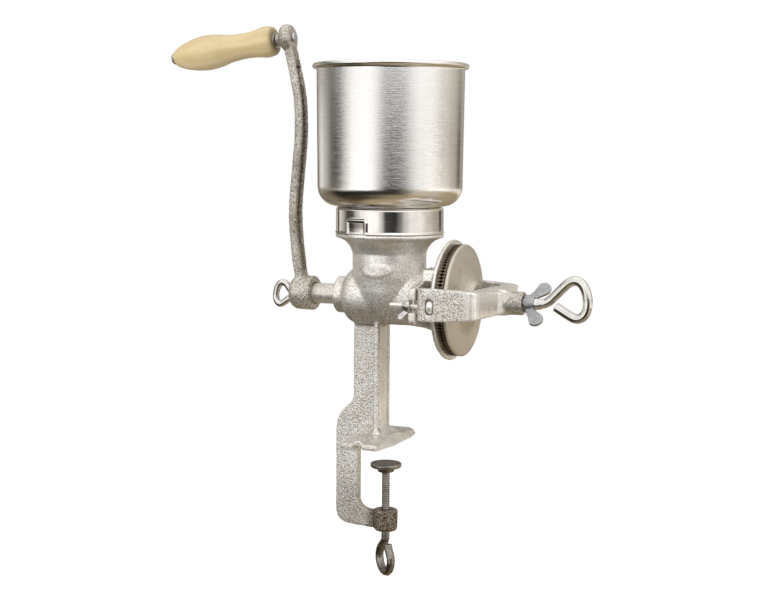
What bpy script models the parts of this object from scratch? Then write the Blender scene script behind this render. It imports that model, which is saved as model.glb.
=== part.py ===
"""Hand-cranked burr mill for grain, clamped to the edge of a table.

Frame: the origin lies on the table top, straight under the hopper's axis. +Z is up, +X runs along
the shaft from the crank to the burrs, and -Y is the side the maker's plate faces.

Every length below is in millimetres. make_object and place turn them into metres.
"""

import math

import bmesh
import bpy
from mathutils import Matrix, Vector

MM = 0.001
GAP = 0.3

# Driving dimensions
SHAFT_Z = 129.0
SHAFT_RADIUS = 9.1
CORE_RADIUS = 8.0
SHAFT_LEFT = -90.0
SHAFT_RIGHT = 83.0

THROAT_RADIUS = 32.5
FLANGE_RADIUS = 47.5
FLANGE_TOP = 185.0
SPIGOT_RADIUS = 43.0
SPIGOT_TOP = 192.0
BARREL_BORE = 20.0
BOSS_RADIUS = 16.2
BOSS_LEFT = -48.3

COLLAR_RADIUS = 47.0
COLLAR_TOP = 208.5
POCKET_ANGLE = -104.5
POCKET_HALF_WIDTH = 13.5
CUP_RADIUS = 63.2
CUP_TOP_RADIUS = 64.2
CUP_CORNER = 17.0
RIM_Z = 329.0
SHEET = 1.0

HOUSING_DISC_RADIUS = 52.0
HOUSING_DISC_BACK = 57.5
HOUSING_FACE = 61.0
STATIONARY_FACE = 64.3
ROTATING_FACE = 65.0
ROTATING_BACK = 67.7
ROTATING_DISC_RADIUS = 48.4
BURR_RADIUS = 48.0
BURR_TEETH = 24
BURR_SCREW_RADIUS = 34.0
DISC_HUB_END = 82.5

EAR_LEFT = 44.4
EAR_RIGHT = 50.0
EAR_REACH = 66.0
BOLT_Y = 58.5
BOLT_RADIUS = 2.1
BOLT_HEAD_X = 58.6
BOLT_END_X = 25.4
YOKE_LEFT = EAR_RIGHT + GAP
YOKE_WEB_X = 101.5
YOKE_HALF_HEIGHT = 13.6
YOKE_SKEW = 0.025
YOKE_BOSS_END = 124.0
YOKE_BOSS_RADIUS = 10.0
ADJUSTER_RADIUS = 5.5
BALL_RADIUS = 4.0

LEG_LEFT = -32.0
LEG_FLANGE_RIGHT = -4.6
WEB_HALF = 4.2
CLAMP_LEFT = -49.3
CLAMP_WALL = -28.0
FOOT_LEFT = -26.0
FOOT_RIGHT = 8.3
FOOT_HALF = 46.0
FOOT_FLARE = 13.4
FOOT_TOP = 4.9
CLAMP_X = -2.0
JAW_TOP = -62.0
JAW_BOTTOM = -81.2
CLAMP_SCREW_RADIUS = 4.0
CLAMP_PAD_TOP = -20.0

CRANK_HUB_RIGHT = -72.0
CRANK_HUB_LEFT = -94.3
CRANK_HUB_RADIUS = 15.5
GRIP_CENTRE = (-99.2, 355.6)
GRIP_TILT = 7.8
GRIP_START = 13.3
GRIP_LENGTH = 103.5
GRIP_END = GRIP_START + GRIP_LENGTH
GRIP_BOLT_RADIUS = 3.0


# ---------------------------------------------------------------- tools

def clear_scene():
    for item in list(bpy.data.objects):
        bpy.data.objects.remove(item)


def make_material(name, colour, metallic, roughness):
    material = bpy.data.materials.new(name)
    material.use_nodes = True
    shader = material.node_tree.nodes["Principled BSDF"]
    shader.inputs["Base Color"].default_value = (*colour, 1.0)
    shader.inputs["Metallic"].default_value = metallic
    shader.inputs["Roughness"].default_value = roughness
    return material


def make_object(name, shape):
    """Turns a bmesh in millimetres into an object in metres."""
    bmesh.ops.recalc_face_normals(shape, faces=shape.faces)
    bmesh.ops.scale(shape, vec=(MM, MM, MM), verts=shape.verts)
    mesh = bpy.data.meshes.new(name)
    shape.to_mesh(mesh)
    shape.free()
    item = bpy.data.objects.new(name, mesh)
    bpy.context.scene.collection.objects.link(item)
    return item


def place(item, x, y, z):
    item.location = (x * MM, y * MM, z * MM)
    return item


def finish(item, material, angle=35.0):
    """Gives a piece its material and smooth shading, sharp at its edges."""
    item.data.materials.clear()
    item.data.materials.append(material)
    item.data.shade_smooth()
    item.data.set_sharp_from_angle(angle=math.radians(angle))
    return item


def combine(item, others, operation):
    """Applies one exact Boolean for each other object, then removes those objects."""
    for other in others:
        modifier = item.modifiers.new("Boolean", "BOOLEAN")
        modifier.operation = operation
        modifier.solver = "EXACT"
        modifier.object = other
        bpy.context.view_layer.update()
        evaluated = item.evaluated_get(bpy.context.evaluated_depsgraph_get())
        mesh = bpy.data.meshes.new_from_object(evaluated)
        item.modifiers.clear()
        item.data = mesh
        bpy.data.objects.remove(other)
    shape = bmesh.new()
    shape.from_mesh(item.data)
    bmesh.ops.remove_doubles(shape, verts=shape.verts, dist=0.00001)
    bmesh.ops.dissolve_degenerate(shape, edges=shape.edges, dist=0.000005)
    shape.to_mesh(item.data)
    shape.free()
    return item


def join(item, *others):
    return combine(item, others, "UNION")


def cut(item, *others):
    return combine(item, others, "DIFFERENCE")


def arc(centre, radius, start, end, steps):
    """Points on an arc, angles in degrees."""
    points = []
    for step in range(steps + 1):
        angle = math.radians(start + (end - start) * step / steps)
        points.append((centre[0] + radius * math.cos(angle), centre[1] + radius * math.sin(angle)))
    return points


def smooth_curve(points, per_span):
    """A Catmull-Rom curve through the points, as tuples of any length."""
    path = []
    last = len(points) - 1
    for index in range(last):
        before = points[max(index - 1, 0)]
        here = points[index]
        there = points[index + 1]
        after = points[min(index + 2, last)]
        for step in range(per_span):
            t = step / per_span
            path.append(tuple(
                0.5 * (2 * b + (c - a) * t + (2 * a - 5 * b + 4 * c - d) * t * t
                       + (3 * b - a - 3 * c + d) * t * t * t)
                for a, b, c, d in zip(before, here, there, after)
            ))
    path.append(tuple(points[last]))
    return path


def bridge(shape, rings, closed_ends=True, closed_loop=False):
    """Faces between rings of vertices; a ring of one vertex is a point on the axis."""
    count = len(rings) if closed_loop else len(rings) - 1
    for index in range(count):
        low = rings[index]
        high = rings[(index + 1) % len(rings)]
        size = max(len(low), len(high))
        for step in range(size):
            after = (step + 1) % size
            corners = [low[step % len(low)], low[after % len(low)],
                       high[after % len(high)], high[step % len(high)]]
            face = list(dict.fromkeys(corners))
            if len(face) > 2:
                shape.faces.new(face)
    if closed_ends and not closed_loop:
        for ring in (rings[0], rings[-1]):
            if len(ring) > 2:
                shape.faces.new(ring)


def turned(name, profile, steps=48, along="Z", ring=False, phase=0.0):
    """A turned solid from (radius, position) points; ring closes a profile that is off the axis.

    phase turns the facets, in degrees, so that two round shapes don't share their edges.
    """
    shape = bmesh.new()
    rings = []
    for radius, position in profile:
        if radius < 1e-6:
            rings.append([shape.verts.new((0, 0, position))])
            continue
        loop = []
        for step in range(steps):
            angle = math.radians(phase) + 2 * math.pi * step / steps
            loop.append(shape.verts.new((radius * math.cos(angle), radius * math.sin(angle), position)))
        rings.append(loop)
    bridge(shape, rings, closed_loop=ring)
    if along == "X":
        shape.transform(Matrix.Rotation(math.pi / 2, 4, "Y"))
    if along == "Y":
        shape.transform(Matrix.Rotation(-math.pi / 2, 4, "X"))
    return make_object(name, shape)


def rod(name, radius, start, end, along="Z", steps=24):
    return turned(name, [(0, start), (radius, start), (radius, end), (0, end)], steps, along, phase=5.0)


def prism(name, outline, start, end, along="Z"):
    """An outline extruded along an axis: (x, y) along Z, (x, z) along Y, (y, z) along X."""
    orders = {"Z": lambda u, v, w: (u, v, w), "Y": lambda u, v, w: (u, w, v), "X": lambda u, v, w: (w, u, v)}
    order = orders[along]
    shape = bmesh.new()
    rings = [[shape.verts.new(order(u, v, w)) for u, v in outline] for w in (start, end)]
    bridge(shape, rings)
    return make_object(name, shape)


def block(name, x, y, z):
    return prism(name, [(x[0], y[0]), (x[1], y[0]), (x[1], y[1]), (x[0], y[1])], z[0], z[1])


def loft(name, low, high, low_z, high_z):
    """A solid between two outlines with equally many points at two heights."""
    shape = bmesh.new()
    rings = [[shape.verts.new((x, y, z)) for x, y in outline] for outline, z in ((low, low_z), (high, high_z))]
    bridge(shape, rings)
    return make_object(name, shape)


def frustum(name, low, high, low_z, high_z):
    """A solid between two rectangles (x0, x1, y0, y1) at two heights."""
    corners = [[(x0, y0), (x1, y0), (x1, y1), (x0, y1)] for x0, x1, y0, y1 in (low, high)]
    return loft(name, *corners, low_z, high_z)


def sector(name, inner, outer, middle, half, low, high, steps=6):
    """A block bent around Z, from middle - half to middle + half degrees."""
    outline = arc((0, 0), outer, middle - half, middle + half, steps)
    outline += arc((0, 0), inner, middle + half, middle - half, steps)
    return prism(name, outline, low, high)


def tube(name, path, radius, sides=10):
    """A round bar along a path of points, with flat ends."""
    points = [Vector(point) for point in path]
    shape = bmesh.new()
    rings = []
    side = None
    for index, point in enumerate(points):
        ahead = points[min(index + 1, len(points) - 1)] - points[max(index - 1, 0)]
        ahead.normalize()
        if side is None:
            side = ahead.orthogonal().normalized()
        side = (side - ahead * side.dot(ahead)).normalized()
        up = ahead.cross(side)
        loop = []
        for step in range(sides):
            angle = 2 * math.pi * step / sides
            offset = side * math.cos(angle) + up * math.sin(angle)
            loop.append(shape.verts.new(point + offset * radius))
        rings.append(loop)
    bridge(shape, rings)
    return make_object(name, shape)


def eye_path(start, bends):
    """The centre line of an eye screw in the XZ plane, from the shank's start around the given bends."""
    route = [start] + smooth_curve(bends, 2)
    return [(x, 0.0, z) for x, z in route]


def wing_nut(name, radius, bore, height, wing, tip, thickness):
    """A wing nut whose seat is at 0 and whose wings rise along +Z, spread along X."""
    nut = turned(name, [(0, 0), (radius, 0), (radius, height * 0.35), (radius * 0.72, height), (0, height)], 20)
    for direction in (1, -1):
        outline = [(0, height * 0.1), (radius, height * 0.12), (wing * 0.62, height * 0.5)]
        outline += arc((wing - tip, height * 1.35 - tip * 0.2), tip, -40, 150, 7)
        outline += [(radius * 0.8, height * 0.8), (0, height * 0.8)]
        outline = [(direction * x, z) for x, z in outline]
        join(nut, prism("wing", outline, -thickness / 2, thickness / 2, along="Y"))
    return cut(nut, rod("bore", bore, -5, height * 2, steps=20))


# ---------------------------------------------------------------- housing

def leg_web():
    """The flat web of the leg, which widens below into the clamp's back and lower jaw."""
    outline = [(LEG_LEFT, 118)]
    outline += smooth_curve([(LEG_LEFT, 40), (-33.6, 34.4), (-39.5, 29), (-44.6, 23), (-48, 16), (CLAMP_LEFT, 6)], 2)
    outline += arc((CLAMP_LEFT + 12, -66), 12, 180, 262, 6)
    outline += [(-30, -78.6), (-16, -79.4), (CLAMP_X, -80), (CLAMP_X, -64)]
    outline += [(-18, -64)]
    outline += arc((CLAMP_WALL + 9, -54), 9, 250, 180, 5)
    outline += [(CLAMP_WALL, 2.5), (LEG_FLANGE_RIGHT - 2, 2.5), (LEG_FLANGE_RIGHT - 2, 118)]
    return prism("web", outline, -WEB_HALF, WEB_HALF, along="Y")


def foot():
    """The foot that rests on the table: a flat plate with flared sides, raised at the leg, over a groove."""
    bottom = [(FOOT_LEFT, -FOOT_HALF), (FOOT_RIGHT, -FOOT_HALF), (FOOT_FLARE, -18), (FOOT_FLARE, 20), (10.8, 40),
              (5, FOOT_HALF), (FOOT_LEFT, FOOT_HALF)]
    top = [(FOOT_LEFT, -FOOT_HALF), (FOOT_RIGHT - 0.4, -FOOT_HALF), (FOOT_RIGHT + 0.4, -18), (FOOT_RIGHT + 0.4, 20),
           (FOOT_RIGHT, 38), (3, 43), (FOOT_LEFT, 43)]
    plate = loft("foot", bottom, top, 0, FOOT_TOP)
    groove = [(-13.7, -1), (-13.5, 0), (-12.2, 3.2), (-7, 3.2), (-5.6, 0), (-5.4, -1)]
    cut(plate, prism("groove", groove, -FOOT_HALF - 5, FOOT_HALF + 5, along="Y"))
    groove_roof = [(-14.6, 4.0), (-5, 4.0), (-6.4, 7.9), (-12.6, 7.9)]
    ridge = prism("ridge", groove_roof, -FOOT_HALF, -5, along="Y")
    low = [(FOOT_LEFT + 0.2, -41), (FOOT_RIGHT - 0.2, -41), (FOOT_RIGHT + 0.2, 26), (FOOT_LEFT + 0.2, 26)]
    high = [(FOOT_LEFT + 0.2, -9), (FOOT_RIGHT + 0.2, -9), (FOOT_RIGHT - 1.2, -1), (FOOT_LEFT + 0.2, 9)]
    slope = loft("slope", low, high, 4.0, 8.6)
    root = frustum("root", (-24, 3, -17, 17), (-20, LEG_FLANGE_RIGHT, -7, 7), 7.0, 14.0)
    return join(plate, ridge, slope, root)


def ear(side):
    """A forked ear that takes one yoke bolt; side is -1 for the front and 1 for the back."""
    slot = 5.2
    outline = [(16, 24), (48, 17.5)]
    outline += arc((EAR_REACH - 4, 11.8), 4, 80, 0, 4)
    outline += [(EAR_REACH, slot)]
    outline += arc((BOLT_Y - 1, 0), slot, 90, 270, 8)
    outline += [(EAR_REACH, -slot)]
    outline += arc((EAR_REACH - 4, -11.8), 4, 0, -80, 4)
    outline += [(48, -17.5), (16, -24)]
    outline = [(side * y, SHAFT_Z + z) for y, z in outline]
    return prism("ear", outline, EAR_LEFT, EAR_RIGHT, along="X")


def plate_blank():
    """A plain raised oval on the front of the throat."""
    outline = [(14 * math.cos(math.radians(a)), 154 + 5.6 * math.sin(math.radians(a))) for a in range(0, 360, 18)]
    oval = prism("plate", outline, -40, -20, along="Y")
    return combine(oval, [rod("limit", THROAT_RADIUS + 1.0, 140, 170, steps=64)], "INTERSECT")


def make_housing(material):
    throat = [(0, 106), (12, 107.5), (20, 112.5), (26, 121), (30, 134), (32.2, 148), (THROAT_RADIUS, 156),
              (THROAT_RADIUS, 168), (34.5, 173.5), (39, 178.5), (45, 181.3), (FLANGE_RADIUS, 181.8),
              (FLANGE_RADIUS, FLANGE_TOP), (SPIGOT_RADIUS, FLANGE_TOP), (SPIGOT_RADIUS, SPIGOT_TOP), (0, SPIGOT_TOP)]
    housing = turned("housing", throat, 40)
    barrel = [(0, BOSS_LEFT), (BOSS_RADIUS - 0.8, BOSS_LEFT), (BOSS_RADIUS, BOSS_LEFT + 0.8),
              (BOSS_RADIUS, -39.2), (17.6, -38.6), (20.6, -37), (23.6, -33.6), (25.4, -28.5), (25.8, -22), (24.6, 0),
              (24.2, 22), (25.6, 35), (28, 44), (33, 51), (41, 56), (50.6, HOUSING_DISC_BACK),
              (HOUSING_DISC_RADIUS, HOUSING_DISC_BACK + 1.2), (HOUSING_DISC_RADIUS, HOUSING_FACE - 0.5),
              (HOUSING_DISC_RADIUS - 0.5, HOUSING_FACE), (0, HOUSING_FACE)]
    join(housing, place(turned("barrel", barrel, 40, "X"), 0, 0, SHAFT_Z))
    back, right = LEG_FLANGE_RIGHT - 3.9, LEG_FLANGE_RIGHT
    face = [(back, -15), (right + 0.6, -15), (right + 0.6, -13.4), (right - 0.2, -12.4), (right + 0.8, 7),
            (right - 0.4, 15), (back, 15)]
    flange = prism("leg_flange", face, 2.2, 113)
    join(housing, leg_web(), flange, foot(), ear(-1), ear(1), plate_blank())
    jaw_boss = [(0, JAW_BOTTOM), (9.2, JAW_BOTTOM), (10.6, JAW_BOTTOM + 1.6), (10.9, JAW_TOP - 1.2),
                (9.8, JAW_TOP), (0, JAW_TOP)]
    join(housing, place(turned("jaw_boss", jaw_boss, 32), CLAMP_X, 0, 0))
    for side in (-1, 1):
        rib = [(side * 30, 8), (side * 46, 20), (side * 43, 29), (side * 26, 30)]
        rib = [(y, SHAFT_Z + z) for y, z in rib]
        join(housing, prism("rib", rib, 48.5, 58, along="X"))
    for turn in (0, 180):
        lug = sector("lug", SPIGOT_RADIUS - 1, COLLAR_RADIUS - 0.1, POCKET_ANGLE + turn, 11, 186.5, 191)
        join(housing, lug)
    feed = [(0, 124), (18.5, 127), (26, 146), (28, 168), (39.5, 184), (39.5, 200), (0, 200)]
    bore = SHAFT_RADIUS + GAP
    barrel = [(0, -70), (bore, -70), (bore, -32), (BARREL_BORE, -32), (BARREL_BORE, 70), (0, 70)]
    cutters = [turned("feed_bore", feed, 36)]
    cutters.append(place(turned("barrel_bore", barrel, 36, "X"), 0, 0, SHAFT_Z))
    cutters.append(place(rod("clamp_bore", CLAMP_SCREW_RADIUS + GAP, -100, -50), CLAMP_X, 0, 0))
    for side in (-1, 1):
        cutters.append(place(rod("burr_hole", 2.15, 50, 70, "X", 16), 0, 0, SHAFT_Z + side * BURR_SCREW_RADIUS))
    cut(housing, *cutters)
    return finish(housing, material)


# ---------------------------------------------------------------- hopper

def make_cup(material):
    base = COLLAR_TOP + GAP
    flat = CUP_RADIUS - CUP_CORNER
    outer = [(37, base)] + arc((flat, base + CUP_CORNER), CUP_CORNER, -90, 0, 6)
    bead = arc((CUP_TOP_RADIUS + 1.6, RIM_Z), 2.2, -100, 135, 6)
    inner = arc((flat, base + CUP_CORNER), CUP_CORNER - SHEET, 0, -90, 6) + [(37, base + SHEET)]
    profile = outer + [(CUP_TOP_RADIUS, RIM_Z - 2)] + bead + [(CUP_TOP_RADIUS - SHEET, RIM_Z - 1)] + inner
    return finish(turned("hopper_cup", profile, 40, ring=True), material)


def make_collar(material):
    low = FLANGE_TOP + GAP
    outer = [(COLLAR_RADIUS, low)] + arc((COLLAR_RADIUS - 3, COLLAR_TOP - 3), 3, 0, 90, 4)
    inner = [(38, COLLAR_TOP), (38, COLLAR_TOP - SHEET)]
    inner += arc((COLLAR_RADIUS - 3, COLLAR_TOP - 3), 3 - SHEET, 90, 0, 4) + [(COLLAR_RADIUS - SHEET, low)]
    collar = turned("hopper_collar", outer + inner, 40, ring=True)
    for turn in (0, 180):
        middle = POCKET_ANGLE + turn
        wall = sector("wall", COLLAR_RADIUS - 0.6, COLLAR_RADIUS + 1.4, middle, POCKET_HALF_WIDTH, low + 0.4, 199)
        hollow = sector("hollow", SPIGOT_RADIUS, COLLAR_RADIUS + 0.5, middle, POCKET_HALF_WIDTH - 1.4, 180, 197.8)
        join(collar, wall)
        cut(collar, hollow)
    return finish(collar, material)


# ---------------------------------------------------------------- shaft, burrs and discs

def make_auger(material):
    """The shaft, stepped down inside the barrel, with the feed screw around it."""
    profile = [(0, -76), (3.55, -76), (3.55, SHAFT_LEFT), (SHAFT_RADIUS - 0.6, SHAFT_LEFT),
               (SHAFT_RADIUS, SHAFT_LEFT + 0.6), (SHAFT_RADIUS, -31), (CORE_RADIUS, -29.5),
               (CORE_RADIUS, SHAFT_RIGHT - 0.6), (CORE_RADIUS - 0.6, SHAFT_RIGHT),
               (BALL_RADIUS + GAP, SHAFT_RIGHT), (BALL_RADIUS + GAP, 77), (0, 77)]
    auger = turned("auger", profile, 24, "X")
    start, end, pitch = -28.0, 55.0, 24.0
    turns = (end - start) / pitch
    steps = int(turns * 15)
    shape = bmesh.new()
    rings = []
    for step in range(steps + 1):
        x = start + (end - start) * step / steps
        angle = 2 * math.pi * turns * step / steps
        corners = ((6.5, -1.9), (19.2, -1.1), (19.2, 1.1), (6.5, 1.9))
        rings.append([shape.verts.new((x + w, r * math.cos(angle), r * math.sin(angle))) for r, w in corners])
    bridge(shape, rings)
    join(auger, make_object("flight", shape))
    pin_hole = rod("pin_hole", 2.15, -20, 20, "Y", 16)
    cut(auger, place(pin_hole, 69.5, 0, 0))
    return finish(place(auger, 0, 0, SHAFT_Z), material)


def burr_ring(name, back, face, inner, depth):
    """A toothed ring about X; the teeth stand on face and the grooves are cut towards back."""
    shape = bmesh.new()
    floor = face - math.copysign(depth, face - back)
    wave = ((0.0, face), (0.5, face), (0.6, floor), (0.9, floor))
    rings = []
    for tooth in range(BURR_TEETH):
        for share, height in wave:
            angle = 2 * math.pi * (tooth + share) / BURR_TEETH
            spin = Matrix.Rotation(angle, 3, "X")
            corners = ((back, inner), (back, BURR_RADIUS), (height, BURR_RADIUS), (height, inner))
            rings.append([shape.verts.new(spin @ Vector((x, 0, r))) for x, r in corners])
    bridge(shape, rings, closed_loop=True)
    return make_object(name, shape)


def screw_cutter(x_head, direction):
    """A countersunk hole whose wide mouth starts at x_head; direction points into the burr."""
    profile = [(0, x_head - direction * 6), (4.0, x_head - direction * 6), (4.0, x_head + direction * 0.3),
               (2.2, x_head + direction * 2.0), (2.2, x_head + direction * 9), (0, x_head + direction * 9)]
    return turned("screw_cutter", profile, 16, "X")


def make_burrs(material):
    seat = HOUSING_FACE + GAP
    stationary = place(burr_ring("stationary_burr", seat, STATIONARY_FACE, 20.5, 0.8), 0, 0, SHAFT_Z)
    rotating = place(burr_ring("rotating_burr", ROTATING_BACK, ROTATING_FACE, 19, 0.8), 0, 0, SHAFT_Z)
    for side in (-1, 1):
        reach = side * BURR_SCREW_RADIUS
        cut(stationary, place(screw_cutter(STATIONARY_FACE - 0.9, -1), 0, 0, SHAFT_Z + reach))
        cut(rotating, place(screw_cutter(ROTATING_FACE + 0.9, 1), 0, reach, SHAFT_Z))
    finish(stationary, material)
    finish(rotating, material)


def make_burr_screws(material):
    profile = [(0, 0), (3.5, 0), (1.9, 1.6), (1.9, 5.2), (0, 5.2)]
    for name, y, z, x_head, direction in (
        ("stationary_burr_screw_upper", 0, BURR_SCREW_RADIUS, STATIONARY_FACE - 1.0, -1),
        ("stationary_burr_screw_lower", 0, -BURR_SCREW_RADIUS, STATIONARY_FACE - 1.0, -1),
        ("rotating_burr_screw_front", -BURR_SCREW_RADIUS, 0, ROTATING_FACE + 1.0, 1),
        ("rotating_burr_screw_back", BURR_SCREW_RADIUS, 0, ROTATING_FACE + 1.0, 1),
    ):
        screw = turned(name, [(r, direction * x) for r, x in profile], 16, "X")
        slot = block("slot", (direction * -1, direction * 0.7), (-0.5, 0.5), (-5, 5))
        cut(screw, slot)
        finish(place(screw, x_head, y, SHAFT_Z + z), material)


def make_rotating_disc(material):
    profile = [(CORE_RADIUS + GAP, 66), (18, 66), (18, 68), (ROTATING_DISC_RADIUS, 68),
               (ROTATING_DISC_RADIUS, 70.4), (ROTATING_DISC_RADIUS - 0.8, 71.1), (41, 72.2), (31, 73.3),
               (26, 74.6), (21, 76.8), (17.6, 79.2), (16, 81.4), (15, DISC_HUB_END),
               (CORE_RADIUS + GAP, DISC_HUB_END)]
    disc = turned("rotating_disc", profile, 40, "X", ring=True)
    slot = block("drive_slot", (60, 71.8), (-12, 12), (-2.3, 2.3))
    cut(disc, slot)
    for side in (-1, 1):
        cut(disc, place(rod("burr_hole", 2.15, 62, 71.6, "X", 16), 0, side * BURR_SCREW_RADIUS, 0))
    return finish(place(disc, 0, 0, SHAFT_Z), material)


def make_drive_pin(material):
    pin = rod("drive_pin", 1.85, -11, 11, "Y", 16)
    return finish(place(pin, 69.5, 0, SHAFT_Z), material)


def make_thrust_ball(material):
    profile = [(BALL_RADIUS * math.sin(math.radians(a)), -BALL_RADIUS * math.cos(math.radians(a)))
               for a in range(0, 181, 20)]
    profile[0] = (0, -BALL_RADIUS)
    profile[-1] = (0, BALL_RADIUS)
    ball = turned("thrust_ball", profile, 16, "X")
    return finish(place(ball, 77 + GAP + BALL_RADIUS, 0, SHAFT_Z), material)


# ---------------------------------------------------------------- yoke and its fasteners

def make_yoke(material):
    """The bracket over the burrs: two arms, a cross web and the threaded boss."""
    half = YOKE_HALF_HEIGHT
    outer = [(YOKE_LEFT, -61), (YOKE_LEFT + 3, -64), (68, -64), (78, -62.4), (YOKE_WEB_X - 4.6, -59)]
    outer += [(YOKE_WEB_X - 1.2, -56), (YOKE_WEB_X, -51), (YOKE_WEB_X - 0.6, -38), (YOKE_WEB_X + 0.4, -26),
              (YOKE_WEB_X + 3.6, -15), (YOKE_WEB_X + 8, -9)]
    inner = [(YOKE_WEB_X - 11, -9), (YOKE_WEB_X - 10, -36), (YOKE_WEB_X - 13, -45), (YOKE_WEB_X - 20, -49.6),
             (74, -52), (64, -53.2), (YOKE_LEFT, -53.2)]
    upper = [(x, -y) for x, y in reversed(outer)]
    lower = [(x, -y) for x, y in reversed(inner)]
    yoke = prism("yoke", outer + upper + lower + inner, SHAFT_Z - half, SHAFT_Z + half)
    boss = [(0, YOKE_WEB_X - 10), (YOKE_BOSS_RADIUS + 1, YOKE_WEB_X - 10), (YOKE_BOSS_RADIUS + 1.4, YOKE_WEB_X + 5),
            (YOKE_BOSS_RADIUS, YOKE_WEB_X + 11), (YOKE_BOSS_RADIUS, YOKE_BOSS_END - 0.6),
            (YOKE_BOSS_RADIUS - 0.6, YOKE_BOSS_END), (0, YOKE_BOSS_END)]
    for z in (-1, 1):
        shave = [(YOKE_WEB_X - 36, z * (half + 6)), (YOKE_WEB_X + 12, z * (half + 6)), (YOKE_WEB_X + 12, z * 7.5),
                 (YOKE_WEB_X + 0.6, z * 10.4), (YOKE_WEB_X - 4.5, z * 12.0), (YOKE_WEB_X - 36, z * (half + 0.1))]
        cut(yoke, prism("shave", [(x, SHAFT_Z + h) for x, h in shave], -70, 70, along="Y"))
    # The bracket sits slightly askew: its front arm a little higher than its back one.
    yoke.data.transform(Matrix(((1, 0, 0, 0), (0, 1, 0, 0), (0, -YOKE_SKEW, 1, 0), (0, 0, 0, 1))))
    join(yoke, place(turned("boss", boss, 32, "X"), 0, 0, SHAFT_Z))
    cut(yoke, place(rod("adjuster_bore", ADJUSTER_RADIUS + GAP, 70, 140, "X", 32), 0, 0, SHAFT_Z))
    for side in (-1, 1):
        cut(yoke, place(rod("bolt_bore", BOLT_RADIUS + GAP, 40, 62, "X", 20), 0, side * BOLT_Y, SHAFT_Z))
        window = arc((61.2, 3.7), 2.9, 180, 90, 4) + arc((62.8, 3.7), 2.9, 90, 0, 4)
        window += arc((62.8, -3.7), 2.9, 0, -90, 4) + arc((61.2, -3.7), 2.9, -90, -180, 4)
        window = [(x, SHAFT_Z + z) for x, z in window]
        low, high = sorted((side * 48, side * 70))
        cut(yoke, prism("window", window, low, high, along="Y"))
    return finish(yoke, material)


def make_yoke_bolts(material):
    head = [(0, BOLT_END_X), (BOLT_RADIUS - 0.4, BOLT_END_X), (BOLT_RADIUS, BOLT_END_X + 0.4),
            (BOLT_RADIUS, BOLT_HEAD_X),
            (3.6, BOLT_HEAD_X), (5.2, BOLT_HEAD_X + 0.8), (6.1, BOLT_HEAD_X + 2.0), (6.4, BOLT_HEAD_X + 3.4),
            (6.0, BOLT_HEAD_X + 4.9), (5.0, BOLT_HEAD_X + 6.0), (3.2, BOLT_HEAD_X + 6.6), (0, BOLT_HEAD_X + 6.8)]
    for name, side in (("yoke_bolt_front", -1), ("yoke_bolt_back", 1)):
        bolt = turned(name, head, 20, "X")
        finish(place(bolt, 0, side * BOLT_Y, SHAFT_Z), material)


def make_wing_nuts(material):
    for name, side, spin in (("wing_nut_front", -1, 4), ("wing_nut_back", 1, -24)):
        nut = wing_nut(name, 5.0, BOLT_RADIUS + GAP, 7.0, 12.4, 2.6, 2.2)
        nut.data.transform(Matrix.Rotation(math.radians(spin), 4, "Z"))
        nut.data.transform(Matrix.Rotation(-math.pi / 2, 4, "Y"))
        finish(place(nut, EAR_LEFT - GAP, side * BOLT_Y, SHAFT_Z), material)


def make_lock_nut(material):
    nut = wing_nut("lock_wing_nut", 7.6, ADJUSTER_RADIUS + GAP, 10.0, 23, 6.6, 3.0)
    nut.data.transform(Matrix.Rotation(math.radians(-45), 4, "Z"))
    nut.data.transform(Matrix.Rotation(math.pi / 2, 4, "Y"))
    return finish(place(nut, YOKE_BOSS_END + 1.2, 0, SHAFT_Z), material)


def make_adjusting_screw(material):
    tip = 77 + 2 * GAP + 2 * BALL_RADIUS
    length = 138 - tip
    bends = [(136.0, 129.0), (141.5, 129.9), (146.4, 132.6), (151.0, 137.2), (157.0, 143.4), (162.0, 148.0),
             (167.2, 150.2), (172.2, 148.6), (176.2, 143.6), (178.4, 136.0), (178.6, 128.4), (176.2, 121.8),
             (172.2, 118.8), (167.6, 118.6), (161.6, 121.6), (155.6, 125.1), (151.1, 127.7)]
    screw = tube("adjusting_screw", eye_path((tip + length - 10, SHAFT_Z), bends), 4.2)
    shank = [(0, 0), (ADJUSTER_RADIUS - 1, 0), (ADJUSTER_RADIUS, 1), (ADJUSTER_RADIUS, length - 8),
             (4.4, length + 1), (0, length + 1)]
    join(screw, place(turned("shank", shank, 24, "X"), tip, 0, SHAFT_Z))
    set_origin(screw, (tip, 0, SHAFT_Z))
    return finish(screw, material)


# ---------------------------------------------------------------- crank and grip

def crank_path():
    """The arm's centre line: from the hub it leans out, bows back in and leans out again to the head."""
    bends = [(-83.4, 129.0), (-88.6, 160.0), (-91.9, 200.0), (-89.2, 236.0), (-86.2, 270.0), (-87.2, 302.0),
             (-92.9, 330.0), GRIP_CENTRE]
    return smooth_curve(bends, 3)


def swept_bar(name, path, out_low, out_high, half_low, half_high):
    """A bar with bevelled corners along a path in the XZ plane, between two distances across it."""
    points = [Vector((x, 0, z)) for x, z in path]
    shape = bmesh.new()
    rings = []
    for index, point in enumerate(points):
        share = index / (len(points) - 1)
        half = half_low + (half_high - half_low) * share
        ahead = (points[min(index + 1, len(points) - 1)] - points[max(index - 1, 0)]).normalized()
        across = Vector((ahead.z, 0, -ahead.x))
        bevel = min(1.2, 0.2 * (out_high - out_low))
        corners = [(out_low, half - bevel), (out_low + bevel, half), (out_high - bevel, half),
                   (out_high, half - bevel)]
        corners += [(out, -wide) for out, wide in reversed(corners)]
        rings.append([shape.verts.new(point + across * out + Vector((0, wide, 0))) for out, wide in corners])
    bridge(shape, rings)
    return make_object(name, shape)


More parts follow.
